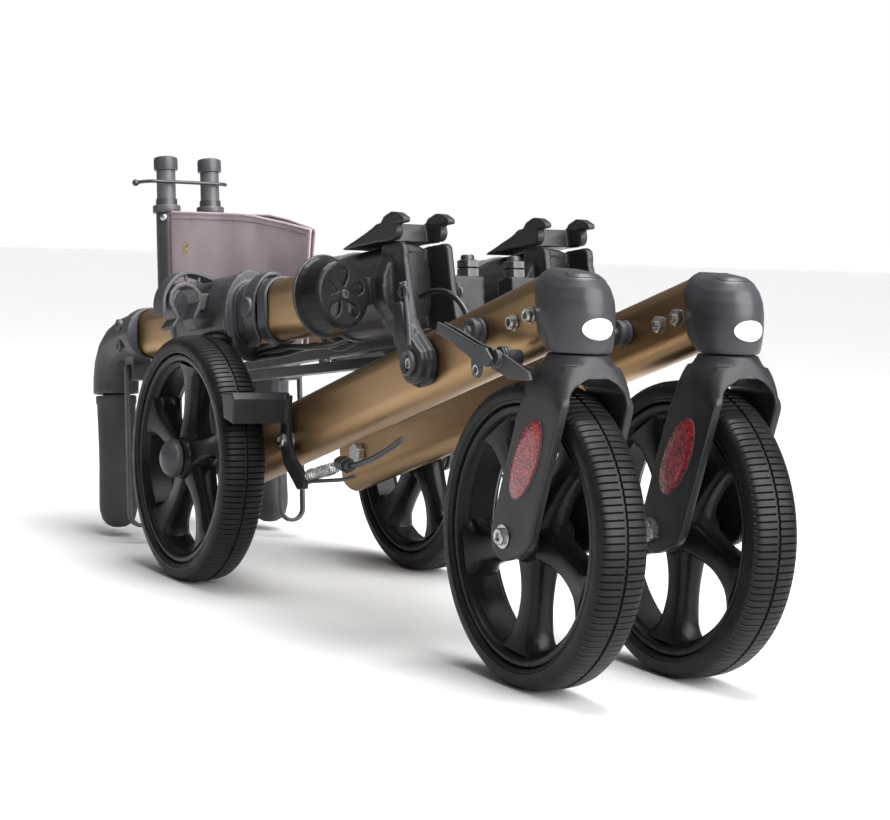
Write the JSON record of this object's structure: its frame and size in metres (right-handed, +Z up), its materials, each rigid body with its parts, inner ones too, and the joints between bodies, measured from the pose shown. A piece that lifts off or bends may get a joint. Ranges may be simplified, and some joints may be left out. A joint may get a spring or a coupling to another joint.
{
  "type": "rollator walker",
  "caption": "Folding rollator with large casters, swing-down handle posts, cross brace, fabric seat, loop brakes and a cane holder, stored folded flat.",
  "frame": {"origin": "middle of the folded walker's bounding box at floor level; the walker's own middle plane is at x = +9.15 mm", "axes": "+Z up, -Y towards the front casters, +X towards the walker's left side"},
  "size_m": [0.2886, 0.8508, 0.3518],
  "materials": {
    "bronze": "satin champagne bronze, anodised look",
    "black_plastic": "fine grained moulded nylon",
    "grey_plastic": "dark grey fine grained moulding",
    "tyre": "solid ribbed polyurethane",
    "rim": "moulded black nylon",
    "zinc": "zinc plated",
    "black_steel": "black powder coat",
    "reflector": "red prism reflector",
    "grip": "soft matt grip",
    "fabric": "mauve grey coated cloth",
    "cable": "black cable sheath"
  },
  "bodies": {
    "right_frame": {"right_lower_tube": "bronze", "right_stop_pin": "black_plastic", "right_caster_cap": "black_plastic", "right_hinge_pin": "zinc", "right_rear_axle": "zinc", "right_brake_cable": "cable"},
    "right_brake": {"right_brake_arm": "black_steel"},
    "right_caster": {"right_caster_fork": "black_plastic", "right_fork_reflector": "reflector", "right_front_axle": "zinc"},
    "right_front_wheel": {"right_front_rim": "rim", "right_front_tyre": "tyre"},
    "right_rear_wheel": {"right_rear_rim": "rim", "right_rear_tyre": "tyre", "right_rear_hub_cap": "black_plastic"},
    "right_post": {"right_hinge_housing": "black_plastic", "right_strut_pivot": "black_steel", "right_post_tube": "bronze", "right_clamp_collar": "black_plastic", "right_cane_cup": "black_plastic", "right_cane_clip": "grey_plastic"},
    "right_latch": {"right_latch_claw": "black_plastic"},
    "right_clamp": {"right_clamp_lever": "grey_plastic"},
    "right_handle": {"right_handle_tube": "bronze", "right_handle_elbow": "grey_plastic", "right_grip": "grip"},
    "right_hand_lever": {"right_brake_lever": "grey_plastic"},
    "right_lock": {"right_lock_lever": "grey_plastic"},
    "right_strut": {"right_cross_strut": "black_steel", "cross_pivot_bolt": "zinc", "left_seat_rail": "black_steel", "left_seat_panel": "fabric"},
    "left_frame": {"left_lower_tube": "bronze", "left_stop_pin": "black_plastic", "left_caster_cap": "black_plastic", "left_hinge_pin": "zinc", "left_rear_axle": "zinc", "left_brake_cable": "cable"},
    "left_brake": {"left_brake_arm": "black_steel"},
    "left_caster": {"left_caster_fork": "black_plastic", "left_fork_reflector": "reflector", "left_front_axle": "zinc"},
    "left_front_wheel": {"left_front_rim": "rim", "left_front_tyre": "tyre"},
    "left_rear_wheel": {"left_rear_rim": "rim", "left_rear_tyre": "tyre", "left_rear_hub_cap": "black_plastic"},
    "left_post": {"left_hinge_housing": "black_plastic", "left_strut_pivot": "black_steel", "left_post_tube": "bronze", "left_clamp_collar": "black_plastic"},
    "left_latch": {"left_latch_claw": "black_plastic"},
    "left_clamp": {"left_clamp_lever": "grey_plastic"},
    "left_handle": {"left_handle_tube": "bronze", "left_handle_elbow": "grey_plastic", "left_grip": "grip"},
    "left_hand_lever": {"left_brake_lever": "grey_plastic"},
    "left_strut": {"left_cross_strut": "black_steel", "right_seat_rail": "black_steel", "right_seat_panel": "fabric"}
  },
  "joints": [
    {"name": "side_spread", "type": "slide", "parent": "right_frame", "child": "left_frame", "axis": [1, 0, 0], "range_m": [0, 0.395]},
    {"name": "right_post_fold", "type": "hinge", "parent": "right_frame", "child": "right_post", "pos_m": [-0.04935, -0.19245, 0.2015], "axis": [1, 0, 0], "range_deg": [0, 83], "deforming": ["right_brake_cable"]},
    {"name": "left_post_fold", "type": "hinge", "parent": "left_frame", "child": "left_post", "pos_m": [0.06765, -0.19245, 0.2015], "axis": [1, 0, 0], "range_deg": [0, 83], "deforming": ["left_brake_cable"]},
    {"name": "right_strut_swing", "type": "hinge", "parent": "right_post", "child": "right_strut", "pos_m": [-0.01035, -0.16173, 0.19735], "axis": [0, -0.134, -0.991], "range_deg": [0, 48]},
    {"name": "left_strut_swing", "type": "hinge", "parent": "left_post", "child": "left_strut", "pos_m": [0.02865, -0.16173, 0.19735], "axis": [0, 0.134, 0.991], "range_deg": [0, 48]},
    {"name": "right_caster_swivel", "type": "hinge", "parent": "right_frame", "child": "right_caster", "pos_m": [-0.04935, -0.36175, 0.23], "axis": [0, 0, 1], "range_deg": [-14, 194]},
    {"name": "left_caster_swivel", "type": "hinge", "parent": "left_frame", "child": "left_caster", "pos_m": [0.06765, -0.36175, 0.23], "axis": [0, 0, -1], "range_deg": [-14, 194]},
    {"name": "right_front_wheel_spin", "type": "hinge", "parent": "right_caster", "child": "right_front_wheel", "pos_m": [-0.04935, -0.32545, 0.1], "axis": [1, 0, 0], "continuous": true},
    {"name": "left_front_wheel_spin", "type": "hinge", "parent": "left_caster", "child": "left_front_wheel", "pos_m": [0.06765, -0.32545, 0.1], "axis": [1, 0, 0], "continuous": true},
    {"name": "right_rear_wheel_spin", "type": "hinge", "parent": "right_frame", "child": "right_rear_wheel", "pos_m": [-0.09725, 0.12655, 0.1], "axis": [1, 0, 0], "continuous": true},
    {"name": "left_rear_wheel_spin", "type": "hinge", "parent": "left_frame", "child": "left_rear_wheel", "pos_m": [0.11555, 0.12655, 0.1], "axis": [1, 0, 0], "continuous": true},
    {"name": "right_handle_height", "type": "slide", "parent": "right_post", "child": "right_handle", "axis": [-0.0314, 0.9905, -0.1339], "range_m": [0, 0.15]},
    {"name": "left_handle_height", "type": "slide", "parent": "left_post", "child": "left_handle", "axis": [0.0314, 0.9905, -0.1339], "range_m": [0, 0.15]},
    {"name": "right_brake_squeeze", "type": "hinge", "parent": "right_handle", "child": "right_hand_lever", "pos_m": [-0.066, 0.3357, 0.1543], "axis": [1, 0, 0], "range_deg": [0, 12], "stiffness_Nm_per_rad": 1, "springref_deg": -11.46},
    {"name": "left_brake_squeeze", "type": "hinge", "parent": "left_handle", "child": "left_hand_lever", "pos_m": [0.0843, 0.3357, 0.1543], "axis": [1, 0, 0], "range_deg": [0, 12], "stiffness_Nm_per_rad": 1, "springref_deg": -11.46},
    {"name": "right_brake_press", "type": "hinge", "parent": "right_frame", "child": "right_brake", "pos_m": [-0.06835, 0.01855, 0.126], "axis": [-1, 0, 0], "range_deg": [0, 2.4]},
    {"name": "left_brake_press", "type": "hinge", "parent": "left_frame", "child": "left_brake", "pos_m": [0.08665, 0.01855, 0.126], "axis": [-1, 0, 0], "range_deg": [0, 2.4]},
    {"name": "right_latch_lift", "type": "hinge", "parent": "right_post", "child": "right_latch", "pos_m": [-0.0526, -0.0773, 0.2768], "axis": [-1, 0, 0], "range_deg": [0, 12], "stiffness_Nm_per_rad": 0.6, "springref_deg": -20.05},
    {"name": "left_latch_lift", "type": "hinge", "parent": "left_post", "child": "left_latch", "pos_m": [0.0709, -0.0773, 0.2768], "axis": [-1, 0, 0], "range_deg": [0, 12], "stiffness_Nm_per_rad": 0.6, "springref_deg": -20.05},
    {"name": "right_clamp_open", "type": "hinge", "parent": "right_post", "child": "right_clamp", "pos_m": [-0.0512, 0.0729, 0.2539], "axis": [-0.0314, 0.9905, -0.1339], "range_deg": [0, 75]},
    {"name": "left_clamp_open", "type": "hinge", "parent": "left_post", "child": "left_clamp", "pos_m": [0.0695, 0.0729, 0.2539], "axis": [-0.0314, -0.9905, 0.1339], "range_deg": [0, 75]},
    {"name": "right_lock_release", "type": "hinge", "parent": "right_frame", "child": "right_lock", "pos_m": [-0.0753, -0.31845, 0.2145], "axis": [1, 0, 0], "range_deg": [0, 12], "stiffness_Nm_per_rad": 0.3, "springref_deg": -17.19}
  ],
  "couplings": [
    {"joint": "left_post_fold", "follows": "right_post_fold", "ratio": 1},
    {"joint": "right_strut_swing", "follows": "side_spread", "rad_per_m": 2.098},
    {"joint": "left_strut_swing", "follows": "side_spread", "rad_per_m": 2.098},
    {"joint": "right_brake_press", "follows": "right_brake_squeeze", "ratio": 0.2},
    {"joint": "left_brake_press", "follows": "left_brake_squeeze", "ratio": 0.2}
  ]
}
